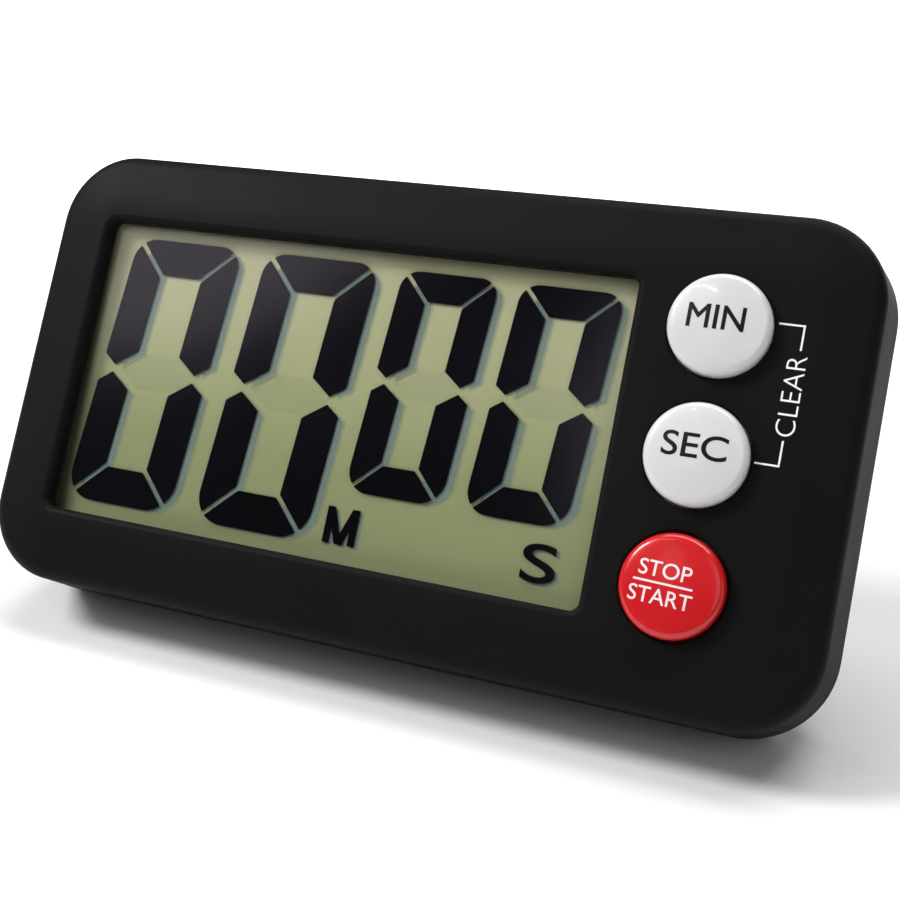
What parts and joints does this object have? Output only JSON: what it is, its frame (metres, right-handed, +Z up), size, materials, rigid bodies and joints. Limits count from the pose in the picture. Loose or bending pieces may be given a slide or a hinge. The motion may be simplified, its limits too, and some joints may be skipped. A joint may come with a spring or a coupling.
{
  "type": "lab timer",
  "caption": "Countdown timer with a large display and three round push buttons, leaning back on a fold-out rear stand.",
  "frame": {"origin": "on the ground under the middle of the timer as it stands open on its stand", "axes": "+X along the face to the right as it is read, -Y towards the reader, +Z up"},
  "size_m": [0.12, 0.0472, 0.0619],
  "materials": {
    "case_black": "fine matte texture",
    "case_black_rear": "fine matte texture",
    "button_white": "gloss",
    "button_red": "gloss",
    "frame_white": "moulded",
    "polariser": "polariser film",
    "glass": "clear",
    "reflector": "satin reflective film",
    "rubber_strip": "matte",
    "board_green": "solder mask",
    "epoxy": "epoxy",
    "steel": "plain",
    "nickel": "nickel plated",
    "brass": "plain",
    "ceramic": "silvered ceramic",
    "switch_black": "moulded",
    "component": "moulded",
    "copper_coil": "sleeved",
    "cell_jacket": "printed metal jacket",
    "wire_red": "insulation",
    "wire_black": "insulation"
  },
  "bodies": {
    "case": {"front_shell": "case_black", "back_shell": "case_black_rear", "case_screws": "steel", "board_screws": "steel", "circuit_board": "board_green", "battery": "cell_jacket", "battery_spring": "nickel", "battery_contact": "nickel", "front_polariser": "polariser", "lcd_front_glass": "glass", "lcd_rear_glass": "glass", "reflector": "reflector", "display_frame": "frame_white", "contact_strip": "rubber_strip", "controller_chip": "epoxy", "crystal": "nickel", "resistors": "component", "sounder_coil": "copper_coil", "battery_wire_positive": "wire_red", "battery_wire_negative": "wire_black", "sounder_disc": "brass", "sounder_ceramic": "ceramic", "sounder_wire_middle": "wire_red", "sounder_wire_rim": "wire_black", "left_magnet": "nickel", "right_magnet": "nickel", "min_switch": "switch_black", "sec_switch": "switch_black", "start_stop_switch": "switch_black"},
    "min_key": {"min_button": "button_white", "min_plunger": "switch_black"},
    "sec_key": {"sec_button": "button_white", "sec_plunger": "switch_black"},
    "start_stop_key": {"start_stop_button": "button_red", "start_stop_plunger": "switch_black"},
    "stand": {"kickstand": "case_black_rear"},
    "door": {"battery_door": "case_black_rear"}
  },
  "joints": [
    {"name": "min_press", "type": "slide", "parent": "case", "child": "min_key", "axis": [0, 0.8548, -0.5189], "range_m": [0, 0.0008], "stiffness_N_per_m": 300},
    {"name": "sec_press", "type": "slide", "parent": "case", "child": "sec_key", "axis": [0, 0.8548, -0.5189], "range_m": [0, 0.0008], "stiffness_N_per_m": 300},
    {"name": "start_stop_press", "type": "slide", "parent": "case", "child": "start_stop_key", "axis": [0, 0.8548, -0.5189], "range_m": [0, 0.0008], "stiffness_N_per_m": 300},
    {"name": "stand_fold", "type": "hinge", "parent": "case", "child": "stand", "pos_m": [0, 0.00947, 0.0322], "axis": [-1, 0, 0], "range_deg": [0, 45]},
    {"name": "door_lift", "type": "slide", "parent": "case", "child": "door", "axis": [0, 0.8548, -0.5189], "range_m": [0, 0.02]}
  ]
}
